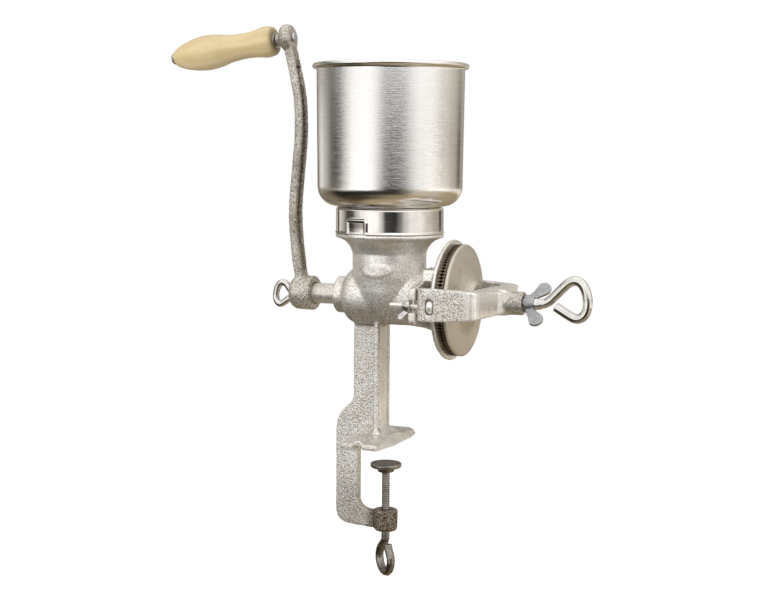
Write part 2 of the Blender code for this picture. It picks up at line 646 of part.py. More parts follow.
def grip_frame():
    """The rotation that carries local +Z onto the grip's axis, which falls outwards from the crank."""
    return Matrix.Rotation(-math.radians(90 + GRIP_TILT), 4, "Y")


def place_on_grip(item):
    item.matrix_world = Matrix.Translation((GRIP_CENTRE[0] * MM, 0, GRIP_CENTRE[1] * MM)) @ grip_frame()
    return item


def make_crank_arm(material):
    path = crank_path()
    arm = swept_bar("crank_arm", path, -4.0, 4.0, 7.6, 6.6)
    hub = [(0, CRANK_HUB_LEFT), (9.5, CRANK_HUB_LEFT), (13, CRANK_HUB_LEFT + 1.6), (15, CRANK_HUB_LEFT + 5),
           (CRANK_HUB_RADIUS, CRANK_HUB_LEFT + 10), (CRANK_HUB_RADIUS, CRANK_HUB_RIGHT - 1),
           (CRANK_HUB_RADIUS - 1, CRANK_HUB_RIGHT), (0, CRANK_HUB_RIGHT)]
    head = [(0, -5.2), (8.5, -5.2), (11.2, -3.8), (12.3, -0.8), (12.3, 1.6), (11.0, 4.2), (8.6, 5.4),
            (6.2, 6.2), (5.6, 8), (5.6, 11.2), (0, 11.2)]
    join(arm, place(turned("hub", hub, 24, "X"), 0, 0, SHAFT_Z), place_on_grip(turned("head", head, 24)))
    groove = swept_bar("groove", path[4:19], 1.4, 8.0, 4.2, 3.6)
    cut(arm, groove)
    cut(arm, place(rod("shaft_socket", SHAFT_RADIUS + GAP, SHAFT_LEFT - GAP, -60, "X", 32), 0, 0, SHAFT_Z))
    cut(arm, place(rod("screw_hole", 3.6, -110, -80, "X", 20), 0, 0, SHAFT_Z))
    cut(arm, place_on_grip(rod("rivet_hole", GRIP_BOLT_RADIUS + GAP, -20, 30, steps=20)))
    set_origin(arm, (0, 0, SHAFT_Z))
    return finish(arm, material)


def set_origin(item, point):
    """Moves an object's origin to a point in millimetres without moving its mesh."""
    offset = Vector(point) * MM
    item.data.transform(Matrix.Translation(item.location - offset))
    item.location = offset


def make_crank_eye_screw(material):
    bends = [(-94.8, 129.0), (-97.6, 131.4), (-100.4, 135.2), (-104.2, 137.2), (-108.0, 135.6), (-110.6, 131.2),
             (-111.7, 125.6), (-111.0, 120.4), (-108.4, 117.6), (-105.2, 118.2), (-100.8, 121.2), (-97.2, 123.6)]
    screw = tube("crank_eye_screw", eye_path((-78.5, SHAFT_Z), bends), 3.2)
    set_origin(screw, (-78.5, 0, SHAFT_Z))
    return finish(screw, material)


def make_grip(material):
    bore = GRIP_BOLT_RADIUS + GAP
    swell = [(13.3, 4), (13.8, 9), (12.0, 20), (11.4, 31), (12.4, 46), (14.7, 57), (15.7, 69),
             (14.5, 81), (12.1, 91), (8.9, 99.3)]
    swell = [(radius, GRIP_START + reach) for radius, reach in swell]
    profile = [(bore, GRIP_START), (10.2, GRIP_START), (12.2, GRIP_START + 1.3)] + smooth_curve(swell, 2)
    profile += [(6.4, GRIP_END - 1), (5.6, GRIP_END), (bore, GRIP_END)]
    grip = turned("grip", profile, 28, ring=True)
    return finish(place_on_grip(grip), material)


def make_grip_bolt(material):
    radius = GRIP_BOLT_RADIUS
    end = GRIP_END + GAP
    profile = [(0, -7.3), (2.6, -7.1), (4.1, -6.2), (4.2, -5.5), (radius, -5.5), (radius, end), (5.4, end),
               (5.4, end + 1.2), (4.4, end + 2.4), (2.4, end + 3.1), (0, end + 3.3)]
    return finish(place_on_grip(turned("grip_bolt", profile, 20)), material)


def make_grip_washer(material):
    bore = GRIP_BOLT_RADIUS + GAP
    profile = [(bore, 11.5), (7.2, 11.5), (7.2, 13.0), (bore, 13.0)]
    return finish(place_on_grip(turned("grip_washer", profile, 24, ring=True)), material)


# ---------------------------------------------------------------- clamp

def make_clamp_screw(material):
    tip = CLAMP_PAD_TOP - 2.9
    length = tip + 90.0
    loop = arc((17.4, 0.4), 12.2, 138, -145, 14)
    bends = [(0.0, 0.0), (3.8, 3.6)] + loop[::2] + [(2.9, -5.6)]
    path = eye_path((0.0, 0.0), [(length + x, z) for x, z in bends])
    screw = tube("clamp_screw", path, 3.9)
    screw.data.transform(Matrix.Rotation(math.pi / 2, 4, "Y"))
    screw.data.transform(Matrix.Rotation(math.radians(138), 4, "Z"))
    return finish(place(screw, CLAMP_X, 0, tip), material)


def make_clamp_pad(material):
    socket = CLAMP_SCREW_RADIUS + GAP
    top = CLAMP_PAD_TOP
    profile = [(0, top), (13.4, top), (14, top - 0.6), (14, top - 3), (12.8, top - 4), (7.6, top - 5),
               (7.2, top - 8), (socket, top - 8), (socket, top - 2.6), (0, top - 2.6)]
    return finish(place(turned("clamp_pad", profile, 32), CLAMP_X, 0, 0), material)


def main():
    clear_scene()
    cast = make_material("tinned_cast_iron", (0.60, 0.58, 0.54), 1.0, 0.45)
    brushed = make_material("brushed_steel", (0.62, 0.60, 0.57), 1.0, 0.32)
    polished = make_material("polished_steel", (0.74, 0.72, 0.69), 1.0, 0.12)
    zinc = make_material("zinc_plated_steel", (0.58, 0.60, 0.63), 1.0, 0.38)
    dark = make_material("dark_steel", (0.30, 0.28, 0.26), 1.0, 0.42)
    wood = make_material("pale_wood", (0.80, 0.66, 0.42), 0.0, 0.5)
    make_housing(cast)
    make_cup(brushed)
    make_collar(polished)
    make_auger(cast)
    make_burrs(dark)
    make_burr_screws(zinc)
    make_rotating_disc(cast)
    make_drive_pin(zinc)
    make_thrust_ball(polished)
    make_yoke(cast)
    make_yoke_bolts(zinc)
    make_wing_nuts(zinc)
    make_lock_nut(zinc)
    make_adjusting_screw(zinc)
    make_crank_arm(cast)
    make_crank_eye_screw(zinc)
    make_grip(wood)
    make_grip_bolt(zinc)
    make_grip_washer(dark)
    make_clamp_screw(dark)
    make_clamp_pad(dark)


main()
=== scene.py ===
"""The looks of a hand-cranked grain mill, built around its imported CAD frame.

Castings, wires and nuts are skins: a finely remeshed copy of the CAD node with rounded edges, and on
the castings an unevenness and a pebbled surface. Cup, collar, grip and burrs are made again here with
finer outlines. Points are in metres; profiles, and radii and heights along them, are in millimetres.
"""

import math

import bmesh
import bpy
import numpy as np
from mathutils import Matrix, Vector, noise


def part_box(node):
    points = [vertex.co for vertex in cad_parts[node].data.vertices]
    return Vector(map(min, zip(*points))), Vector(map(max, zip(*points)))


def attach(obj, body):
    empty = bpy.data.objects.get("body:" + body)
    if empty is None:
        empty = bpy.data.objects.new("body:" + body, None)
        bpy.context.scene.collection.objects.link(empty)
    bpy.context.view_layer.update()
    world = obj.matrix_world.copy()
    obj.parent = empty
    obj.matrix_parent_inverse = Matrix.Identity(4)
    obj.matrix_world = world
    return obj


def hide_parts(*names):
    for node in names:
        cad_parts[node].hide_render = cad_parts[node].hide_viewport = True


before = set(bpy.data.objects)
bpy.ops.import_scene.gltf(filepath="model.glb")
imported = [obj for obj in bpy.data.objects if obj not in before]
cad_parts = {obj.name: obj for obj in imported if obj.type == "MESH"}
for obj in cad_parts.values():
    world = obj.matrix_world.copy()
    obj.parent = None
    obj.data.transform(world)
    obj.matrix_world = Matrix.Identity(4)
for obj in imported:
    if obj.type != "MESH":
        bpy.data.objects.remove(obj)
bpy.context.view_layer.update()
MM = 0.001

SHAFT_Z = 0.129
FLOOR = -0.158  # clears the clamp's eye at its lowest

CAMERA_AZIMUTH, CAMERA_PITCH, CAMERA_ROLL = 23.169, 6.211, 0.371  # degrees
CAMERA_PLACE = (0.47389, -1.12899, 0.25920)
CAMERA_LENS, CAMERA_SENSOR = 66.38, 36.0
LAMP_TARGET = Vector((0, 0, 0.15))

WELD_DISTANCE = 1e-6
WIRE_VOXEL, WIRE_ROUNDS = 0.35 * MM, 12
GRIP_CENTRE = (-0.0992, 0.0, 0.3556)
GRIP_DROOP = 7.8  # degrees below level
POCKET_ANGLE, POCKET_Z = -104.5, 188.0


# ---------------------------------------------------------------- mesh tools

def link(name, mesh):
    piece = bpy.data.objects.new(name, mesh)
    bpy.context.scene.collection.objects.link(piece)
    return piece


def finish_piece(piece, body, slot, material, *nodes):
    piece.data.materials.clear()
    piece.data.materials.append(material)
    piece.data.shade_smooth()
    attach(piece, body)
    if nodes:
        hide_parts(*nodes)
    return piece


def points_of(mesh):
    points = np.empty(len(mesh.vertices) * 3, np.float32)
    mesh.vertices.foreach_get("co", points)
    return points.reshape(-1, 3).astype(float)


def normals_of(mesh):
    normals = np.empty(len(mesh.vertices) * 3, np.float32)
    mesh.vertices.foreach_get("normal", normals)
    return normals.reshape(-1, 3).astype(float)


def set_points(mesh, points):
    mesh.vertices.foreach_set("co", points.astype(np.float32).ravel())
    mesh.update()


def relax(mesh, rounds, share=0.5, mask=None):
    """Moves every point towards the middle of its neighbours, which rounds edges and fills corners."""
    points = points_of(mesh)
    edges = np.empty(len(mesh.edges) * 2, np.int64)
    mesh.edges.foreach_get("vertices", edges)
    first, second = edges.reshape(-1, 2).T
    count = np.bincount(first, minlength=len(points)) + np.bincount(second, minlength=len(points))
    weight = share * (np.ones(len(points)) if mask is None else mask)
    for _ in range(rounds):
        middle = np.empty_like(points)
        for axis in range(3):
            column = points[:, axis]
            middle[:, axis] = np.bincount(first, column[second], len(points))
            middle[:, axis] += np.bincount(second, column[first], len(points))
        middle /= np.maximum(count, 1)[:, None]
        points += (middle - points) * weight[:, None]
    set_points(mesh, points)


def unevenness(mesh, size, depth):
    """Raises and lowers the surface by a smooth cast unevenness of the given size."""
    points = points_of(mesh)
    lift = np.array([noise.noise(Vector(point) / size) for point in points])
    set_points(mesh, points + normals_of(mesh) * (lift * depth)[:, None])


def box_mask(points, low, high, soft):
    """One inside a box, falling to nothing over a soft distance outside it."""
    outside = np.maximum(np.maximum(np.array(low) - points, points - np.array(high)), 0).max(axis=1)
    return np.clip(1 - outside / soft, 0, 1)


def skin(name, node, voxel, rounds):
    """A finely and evenly remeshed copy of a CAD node's surface."""
    shape = bmesh.new()
    shape.from_mesh(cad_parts[node].data)
    bmesh.ops.remove_doubles(shape, verts=shape.verts, dist=WELD_DISTANCE)
    mesh = bpy.data.meshes.new(name)
    shape.to_mesh(mesh)
    shape.free()
    piece = link(name, mesh)
    remesh = piece.modifiers.new("Remesh", "REMESH")
    remesh.mode = "VOXEL"
    remesh.voxel_size = voxel
    depsgraph = bpy.context.evaluated_depsgraph_get()
    fine = bpy.data.meshes.new_from_object(piece.evaluated_get(depsgraph))
    piece.modifiers.clear()
    piece.data = fine
    relax(fine, rounds)
    return piece


def set_attribute(mesh, name, values):
    layer = mesh.attributes.new(name, "FLOAT", "POINT")
    layer.data.foreach_set("value", values.astype(np.float32))


def thread(mesh, centre, axis, start, end, radius, pitch, depth):
    """Cuts a screw thread into the round shank between start and end along an axis."""
    points = points_of(mesh)
    others = [index for index in range(3) if index != axis]
    across = points[:, others] - np.array(centre)
    reach = np.linalg.norm(across, axis=1)
    along = points[:, axis]
    angle = np.arctan2(across[:, 1], across[:, 0])
    wave = np.abs(((along / pitch - angle / (2 * math.pi)) % 1.0) * 2 - 1)
    near = np.clip((along - start) / pitch, 0, 1) * np.clip((end - along) / pitch, 0, 1)
    near *= np.abs(reach - radius) < radius * 0.15
    shrink = 1 - near * wave * depth / np.maximum(reach, 1e-9)
    points[:, others] = np.array(centre) + across * shrink[:, None]
    set_points(mesh, points)


def arc(centre, radius, start, end, steps):
    """Points on an arc, angles in degrees."""
    points = []
    for step in range(steps + 1):
        angle = math.radians(start + (end - start) * step / steps)
        points.append((centre[0] + radius * math.cos(angle), centre[1] + radius * math.sin(angle)))
    return points


def smooth_curve(points, per_span):
    """A Catmull-Rom curve through the points."""
    path = []
    last = len(points) - 1
    for index in range(last):
        quad = [points[max(index - 1, 0)], points[index], points[index + 1], points[min(index + 2, last)]]
        for step in range(per_span):
            t = step / per_span
            path.append(tuple(0.5 * (2 * b + (c - a) * t + (2 * a - 5 * b + 4 * c - d) * t * t
                                     + (3 * b - a - 3 * c + d) * t ** 3) for a, b, c, d in zip(*quad)))
    path.append(tuple(points[last]))
    return path


def turned(name, profile, steps, matrix=None):
    """A closed turned surface about Z from (radius, height) points in millimetres."""
    shape = bmesh.new()
    rings = []
    for radius, height in profile:
        ring = []
        for step in range(steps):
            angle = 2 * math.pi * step / steps
            point = (radius * MM * math.cos(angle), radius * MM * math.sin(angle), height * MM)
            ring.append(shape.verts.new(point))
        rings.append(ring)
    for index, low in enumerate(rings):
        high = rings[(index + 1) % len(rings)]
        for step in range(steps):
            after = (step + 1) % steps
            shape.faces.new((low[step], low[after], high[after], high[step]))
    bmesh.ops.recalc_face_normals(shape, faces=shape.faces)
    if matrix is not None:
        shape.transform(matrix)
    mesh = bpy.data.meshes.new(name)
    shape.to_mesh(mesh)
    shape.free()
    return link(name, mesh)


# ---------------------------------------------------------------- material tools

class Graph:
    """A material and short names for the nodes it is made of."""

    def __init__(self, name, metallic, **plain):
        self.material = bpy.data.materials.new(name)
        self.material.use_nodes = True
        self.nodes = self.material.node_tree.nodes
        self.links = self.material.node_tree.links
        self.shader = self.nodes["Principled BSDF"]
        self.shader.inputs["Metallic"].default_value = metallic
        for key, value in plain.items():
            self.shader.inputs[key.replace("_", " ")].default_value = value
        self.place = self.nodes.new("ShaderNodeTexCoord").outputs["Object"]

    def put(self, socket, value):
        if isinstance(value, bpy.types.NodeSocket):
            self.links.new(value, socket)
        elif isinstance(value, tuple) and len(value) == 3 and socket.type == "RGBA":
            socket.default_value = (*value, 1.0)
        else:
            socket.default_value = value

    def stretched(self, scale):
        node = self.nodes.new("ShaderNodeMapping")
        self.put(node.inputs["Vector"], self.place)
        node.inputs["Scale"].default_value = scale
        return node.outputs["Vector"]

    def noise(self, scale, detail=2.0, roughness=0.5, at=None, distortion=0.0):
        node = self.nodes.new("ShaderNodeTexNoise")
        self.put(node.inputs["Vector"], at or self.place)
        node.inputs["Scale"].default_value = scale
        node.inputs["Detail"].default_value = detail
        node.inputs["Roughness"].default_value = roughness
        node.inputs["Distortion"].default_value = distortion
        return node.outputs["Fac"]

    def cells(self, scale, smoothness):
        node = self.nodes.new("ShaderNodeTexVoronoi")
        node.feature = "SMOOTH_F1"
        self.put(node.inputs["Vector"], self.place)
        node.inputs["Scale"].default_value = scale
        node.inputs["Smoothness"].default_value = smoothness
        return node.outputs["Distance"]

    def maths(self, operation, first, second=0.5):
        node = self.nodes.new("ShaderNodeMath")
        node.operation = operation
        self.put(node.inputs[0], first)
        self.put(node.inputs[1], second)
        return node.outputs[0]

    def ramp(self, value, low, high, out_low=0.0, out_high=1.0):
        node = self.nodes.new("ShaderNodeMapRange")
        self.put(node.inputs["Value"], value)
        node.inputs["From Min"].default_value = low
        node.inputs["From Max"].default_value = high
        self.put(node.inputs["To Min"], out_low)
        self.put(node.inputs["To Max"], out_high)
        return node.outputs["Result"]

    def mix(self, share, first, second):
        node = self.nodes.new("ShaderNodeMix")
        node.data_type = "RGBA"
        colours = [socket for socket in node.inputs if socket.type == "RGBA"]
        self.put(node.inputs["Factor"], share)
        self.put(colours[0], first)
        self.put(colours[1], second)
        return [socket for socket in node.outputs if socket.type == "RGBA"][0]

    def attribute(self, name):
        node = self.nodes.new("ShaderNodeAttribute")
        node.attribute_name = name
        return node.outputs["Fac"]

    def pointiness(self):
        return self.nodes.new("ShaderNodeNewGeometry").outputs["Pointiness"]

    def bump(self, height, distance, strength=1.0, normal=None):
        node = self.nodes.new("ShaderNodeBump")
        node.inputs["Distance"].default_value = distance
        self.put(node.inputs["Strength"], strength)
        self.put(node.inputs["Height"], height)
        if normal is not None:
            self.put(node.inputs["Normal"], normal)
        return node.outputs["Normal"]

    def done(self, colour, roughness, normal):
        self.put(self.shader.inputs["Base Color"], colour)
        self.put(self.shader.inputs["Roughness"], roughness)
        self.put(self.shader.inputs["Normal"], normal)
        return self.material


def tinned_casting(name, light, dark, pebble, rough):
    """Tinned, sand-cast iron: pebbled, with painted shade in the pebbles' hollows and in creases, rubbed brighter on
    its edges and stained at random.

    The mesh gives it two attributes: pebble, how rough the casting is, and a second one, the share of a dark colour
    that is painted shade in most places and sooty dirt in a few."""
    graph = Graph(name, 0.84)
    specks = graph.noise(760, 3, 0.65)
    grains = graph.cells(820, 0.35)
    fine = graph.noise(1300, 3, 0.65)
    height = graph.maths("ADD", graph.maths("MULTIPLY", grains, -0.6), graph.maths("MULTIPLY", fine, 0.4))
    height = graph.maths("ADD", height, graph.maths("MULTIPLY", specks, 0.9))
    amount = graph.maths("MULTIPLY", graph.attribute("pebble"), pebble)
    stain = graph.ramp(graph.noise(45, 4, 0.6), 0.35, 0.7)
    pits = graph.maths("SUBTRACT", specks, graph.maths("MULTIPLY", grains, 0.35))
    # Painted shade: where the pebbles' bump is low, the colour goes to the dark one.
    hollow_shade = graph.ramp(pits, 0.22, 0.345)
    hollow_shade = graph.ramp(hollow_shade, 0.0, 1.0, graph.ramp(amount, 0.0, 1.0, 0.95, 0.05), 1.0)
    colour = graph.mix(hollow_shade, dark, light)
    colour = graph.mix(graph.maths("MULTIPLY", stain, 0.35), colour, (0.50, 0.44, 0.36))
    worn = graph.ramp(graph.pointiness(), 0.52, 0.60)
    colour = graph.mix(graph.maths("MULTIPLY", worn, 0.6), colour, (0.96, 0.945, 0.92))
    # Painted shade: concave places of the mesh, creases and inner corners, are darkened.
    crevice_shade = graph.ramp(graph.pointiness(), 0.44, 0.485, 1.0, 0.0)
    colour = graph.mix(graph.maths("MULTIPLY", crevice_shade, 0.75), colour, (0.20, 0.165, 0.125))
    # The dark colour that the second attribute mixes in: painted shade in most places, sooty dirt in a few.
    shade_and_soot_colour = graph.mix(graph.ramp(pits, 0.25, 0.46), (0.05, 0.038, 0.027), (0.45, 0.39, 0.315))
    colour = graph.mix(graph.attribute("painted_shade_and_soot"), colour, shade_and_soot_colour)
    roughness = graph.ramp(graph.noise(160, 3, 0.6), 0.3, 0.7, rough - 0.07, rough + 0.09)
    coarse = graph.bump(graph.noise(110, 3, 0.5), 0.0009, 0.35)
    return graph.done(colour, roughness, graph.bump(height, 0.00055, amount, coarse))


def brushed_steel(name, colour_low, colour_high, rough, streak):
    """Sheet steel with fine brushing round its axis."""
    graph = Graph(name, 1.0, Anisotropic=0.45)
    tangent = graph.nodes.new("ShaderNodeTangent")
    tangent.direction_type = "RADIAL"
    tangent.axis = "Z"
    graph.put(graph.shader.inputs["Tangent"], tangent.outputs[0])
    lines = graph.noise(60, 4, 0.7, at=graph.stretched((1.0, 1.0, 60.0)))
    cloud = graph.noise(28, 3, 0.6)
    specks = graph.noise(1000, 2, 0.6)
    mixed = graph.maths("ADD", graph.maths("MULTIPLY", lines, 0.6), graph.maths("MULTIPLY", specks, 0.4))
    colour = graph.mix(graph.ramp(mixed, 0.3, 0.7), colour_low, colour_high)
    roughness = graph.ramp(graph.maths("ADD", cloud, graph.maths("MULTIPLY", lines, 0.5)), 0.5, 1.0,
                           rough - 0.04, rough + 0.06)
    return graph.done(colour, roughness, graph.bump(mixed, 0.00003 * streak, 1.0))


def polished_steel():
    """Polished sheet with faint scratches, darkened with painted shade where the mesh marks it."""
    graph = Graph("polished_collar_steel", 1.0)
    scratches = graph.noise(90, 3, 0.7, at=graph.stretched((1.0, 1.0, 30.0)))
    smears = graph.noise(60, 3, 0.6)
    colour = graph.mix(graph.ramp(smears, 0.35, 0.7), (0.80, 0.77, 0.73), (0.92, 0.90, 0.87))
    colour = graph.mix(graph.attribute("painted_shade_and_soot"), colour, (0.20, 0.17, 0.14))
    roughness = graph.ramp(scratches, 0.3, 0.75, 0.03, 0.08)
    waves = graph.maths("ADD", graph.maths("MULTIPLY", scratches, 0.1), graph.noise(34, 1))
    return graph.done(colour, roughness, graph.bump(waves, 0.0006, 0.35))


def plated_steel(name, light, dark, rough, relief=0.6):
    """Zinc-plated wire or pressed steel with soft spangle and handling marks."""
    graph = Graph(name, 1.0)
    spangle = graph.noise(220, 3, 0.55, distortion=0.6)
    grit = graph.noise(1500, 2, 0.6)
    worn = graph.ramp(graph.pointiness(), 0.50, 0.60)
    colour = graph.mix(graph.ramp(spangle, 0.3, 0.7), dark, light)
    colour = graph.mix(graph.maths("MULTIPLY", worn, 0.5), colour, (0.90, 0.90, 0.90))
    roughness = graph.ramp(spangle, 0.3, 0.7, rough + 0.08, rough - 0.05)
    height = graph.maths("ADD", graph.maths("MULTIPLY", spangle, 0.6), graph.maths("MULTIPLY", grit, 0.4))
    return graph.done(colour, roughness, graph.bump(height, 0.00016, relief))


def burr_iron():
    """Bare dark iron, worn brighter on its edges."""
    graph = Graph("burr_iron_dark", 1.0)
    rust = graph.noise(180, 4, 0.65)
    grit = graph.noise(1400, 3, 0.6)
    worn = graph.ramp(graph.pointiness(), 0.52, 0.62)
    colour = graph.mix(graph.ramp(rust, 0.35, 0.65), (0.085, 0.052, 0.032), (0.19, 0.135, 0.095))
    colour = graph.mix(graph.maths("MULTIPLY", worn, 0.25), colour, (0.52, 0.46, 0.38))
    roughness = graph.ramp(rust, 0.3, 0.7, 0.45, 0.62)
    return graph.done(colour, roughness, graph.bump(grit, 0.00025, 0.6))


def pale_wood(matrix):
    """Pale turned wood; the grain runs along the grip, whose own frame is matrix."""
    graph = Graph("pale_turned_wood", 0.0, Coat_Weight=0.15, Coat_Roughness=0.35)
    back = matrix.inverted()
    local = graph.nodes.new("ShaderNodeMapping")
    graph.put(local.inputs["Vector"], graph.place)
    turn = back.to_3x3().to_euler("XYZ")
    local.inputs["Rotation"].default_value = turn
    local.inputs["Location"].default_value = back.translation
    lengthways = graph.nodes.new("ShaderNodeMapping")
    graph.put(lengthways.inputs["Vector"], local.outputs["Vector"])
    lengthways.inputs["Scale"].default_value = (1.0, 1.0, 0.06)
    at = lengthways.outputs["Vector"]
    rings = graph.noise(150, 3, 0.55, at=at, distortion=0.4)
    fibre = graph.noise(1500, 3, 0.7, at=at)
    pores = graph.ramp(graph.noise(2600, 1, 0.5, at=at), 0.62, 0.72)
    turning = graph.noise(900, 2, 0.6, at=local.outputs["Vector"])
    colour = graph.mix(graph.ramp(rings, 0.35, 0.65), (0.335, 0.25, 0.12), (0.40, 0.32, 0.175))
    colour = graph.mix(graph.maths("MULTIPLY", graph.ramp(fibre, 0.3, 0.7), 0.35), colour, (0.43, 0.36, 0.22))
    colour = graph.mix(graph.maths("MULTIPLY", pores, 0.4), colour, (0.23, 0.155, 0.07))
    roughness = graph.ramp(rings, 0.3, 0.7, 0.42, 0.55)
    height = graph.maths("ADD", graph.maths("MULTIPLY", fibre, 0.7), graph.maths("MULTIPLY", turning, 0.3))
    return graph.done(colour, roughness, graph.bump(height, 0.00012, 0.55))


# The dark casting colours are the painted shade in the pebbles' hollows.
CAST_LIGHT = (0.98, 0.965, 0.935)
CAST_DARK = (0.40, 0.365, 0.31)
casting = tinned_casting("tinned_casting", CAST_LIGHT, CAST_DARK, 1.0, 0.33)
crank_casting = tinned_casting("tinned_casting_crank", (0.76, 0.73, 0.68), (0.24, 0.215, 0.18), 1.0, 0.31)
# The disc's copy of the casting is darker and browner: painted shade, as the disc's face turns away from the lamps.
shaded_disc_casting = tinned_casting("tinned_casting_disc_painted_shade", (0.63, 0.585, 0.515), (0.43, 0.385, 0.325), 0.45, 0.40)
cup_steel = brushed_steel("brushed_cup_steel", (0.84, 0.825, 0.81), (0.97, 0.96, 0.95), 0.12, 2.6)
collar_steel = polished_steel()
zinc = plated_steel("zinc_plated_steel", (0.46, 0.47, 0.49), (0.36, 0.37, 0.39), 0.46)
wire = plated_steel("plated_wire", (0.82, 0.81, 0.79), (0.66, 0.65, 0.63), 0.17, 0.12)
bright_zinc = plated_steel("bright_zinc_steel", (0.82, 0.81, 0.79), (0.60, 0.59, 0.57), 0.28)
dark_steel = plated_steel("dark_steel", (0.36, 0.33, 0.29), (0.19, 0.17, 0.15), 0.30)
iron = burr_iron()


# ---------------------------------------------------------------- cast parts

def pebble_everywhere(mesh, amount):
    set_attribute(mesh, "pebble", np.full(len(mesh.vertices), amount))


def scribe(mesh, across, width, depth, low, high):
    """Presses an upright groove, centred on Y = across, into the +X faces between two corners.

    Returns each point's share of the groove, from 0 to 1."""
    points = points_of(mesh)
    facing = np.clip(normals_of(mesh)[:, 0] * 3 - 1, 0, 1) * box_mask(points, low, high, 0.003)
    share = facing * np.exp(-((points[:, 1] - across) / width) ** 2)
    points[:, 0] -= depth * share
    set_points(mesh, points)
    return share


def make_housing():
    piece = skin("housing_casting", "housing", 0.8 * MM, 2)
    mesh = piece.data
    points = points_of(mesh)
    outer = np.hypot(points[:, 0], points[:, 1]) > 0.0285  # outside the throat's bore
    barrel = np.hypot(points[:, 1], points[:, 2] - SHAFT_Z) > 0.0225  # outside the barrel's bore
    junction = box_mask(points, (-0.036, -0.04, 0.102), (0.040, 0.04, 0.144), 0.006)
    relax(mesh, 9, 0.6, junction * (outer | barrel) * (points[:, 0] > -0.0375))
    unevenness(mesh, 0.009, 0.00022)
    grooves = scribe(mesh, -0.0108, 0.0015, 0.0010, (-0.01, -0.02, 0.012), (0.0, 0.02, 0.108))
    grooves += scribe(mesh, 0.0080, 0.0014, 0.0009, (-0.01, -0.02, 0.012), (0.0, 0.02, 0.108))
    points = points_of(mesh)
    # The throat and the leg's flange are smoother than the rest, the leg's web is rougher.
    amount = np.full(len(points), 0.62)
    amount -= 0.30 * box_mask(points, (-0.06, -0.06, 0.166), (0.06, 0.06, 0.20), 0.014)
    amount += 0.35 * box_mask(points, (-0.06, -0.06, -0.10), (-0.008, 0.06, 0.098), 0.008)
    amount -= 0.35 * box_mask(points, (-0.0046, -0.02, 0.0), (0.02, 0.02, 0.10), 0.003)
    set_attribute(mesh, "pebble", amount)
    normals = normals_of(mesh)
    # Painted shadow of the table, which is left out, on the jaw's boss and the lower leg; then painted shade on
    # downward faces, the flange, the grooves, the foot's top and the boss's edge.
    painted_shade_and_soot = box_mask(points, (-0.014, -1, -0.2), (1, 1, -0.060), 0.012)
    painted_shade_and_soot = np.maximum(painted_shade_and_soot, 0.40 * box_mask(points, (-1, -1, -1), (1, 1, -0.050), 0.02))
    # Painted shade on downward faces round the barrel and, higher up, near the throat's top.
    downward = np.clip(-normals[:, 2] * 1.5, 0, 1)
    painted_shade_and_soot = np.maximum(painted_shade_and_soot, 0.55 * downward * box_mask(points, (-0.05, -1, 0.09), (0.06, 1, 0.124), 0.006))
    painted_shade_and_soot = np.maximum(painted_shade_and_soot, 0.40 * downward * box_mask(points, (-1, -1, 0.168), (1, 1, 0.182), 0.008))
    # Painted shade on the flange's faces that turn to +X, away from the lamps.
    facing_right = np.clip(normals[:, 0] * 3 - 1, 0, 1)
    flange = facing_right * box_mask(points, (-0.006, -0.02, 0.07), (0.0, 0.02, 0.108), 0.04)
    # Painted shade in the scribed grooves.
    painted_shade_and_soot = np.maximum(np.maximum(painted_shade_and_soot, 0.28 * flange), 0.80 * np.minimum(grooves, 1))
    # Painted shadow of the leg on the foot's top faces.
    foot_top_shade = np.clip(normals[:, 2] * 3 - 1.6, 0, 1) * box_mask(points, (-0.06, -1, 0.002), (0.06, 1, 0.020), 0.002)
    painted_shade_and_soot = np.maximum(painted_shade_and_soot, 0.28 * foot_top_shade)
    # Painted shade in a thin line where the bearing boss meets the barrel.
    boss_line_shade = np.exp(-((points[:, 0] + 0.0389) / 0.0008) ** 2) * barrel
    painted_shade_and_soot = np.maximum(painted_shade_and_soot, 0.70 * boss_line_shade * box_mask(points, (-0.05, -0.03, 0.10), (-0.03, 0.03, 0.16), 0.002))
    set_attribute(mesh, "painted_shade_and_soot", painted_shade_and_soot)
    return finish_piece(piece, "frame", "tinned_casting", casting, "housing")


def make_yoke():
    piece = skin("yoke_casting", "yoke", 0.6 * MM, 5)
    mesh = piece.data
    unevenness(mesh, 0.007, 0.00018)
    points = points_of(mesh)
    amount = np.full(len(points), 0.75)
    amount += 0.55 * (np.abs(normals_of(mesh)[:, 1]) > 0.7) * box_mask(points, (0, -1, 0), (0.088, 1, 1), 0.006)
    amount -= 0.55 * box_mask(points, (0.094, -1, 0), (0.108, 1, 1), 0.006)
    set_attribute(mesh, "pebble", amount)
    # The boss at the yoke's right end gets half of the dark colour.
    set_attribute(mesh, "painted_shade_and_soot", 0.5 * box_mask(points, (0.112, -1, 0), (1, 1, 1), 0.006))
    return finish_piece(piece, "frame", "tinned_casting", casting, "yoke")


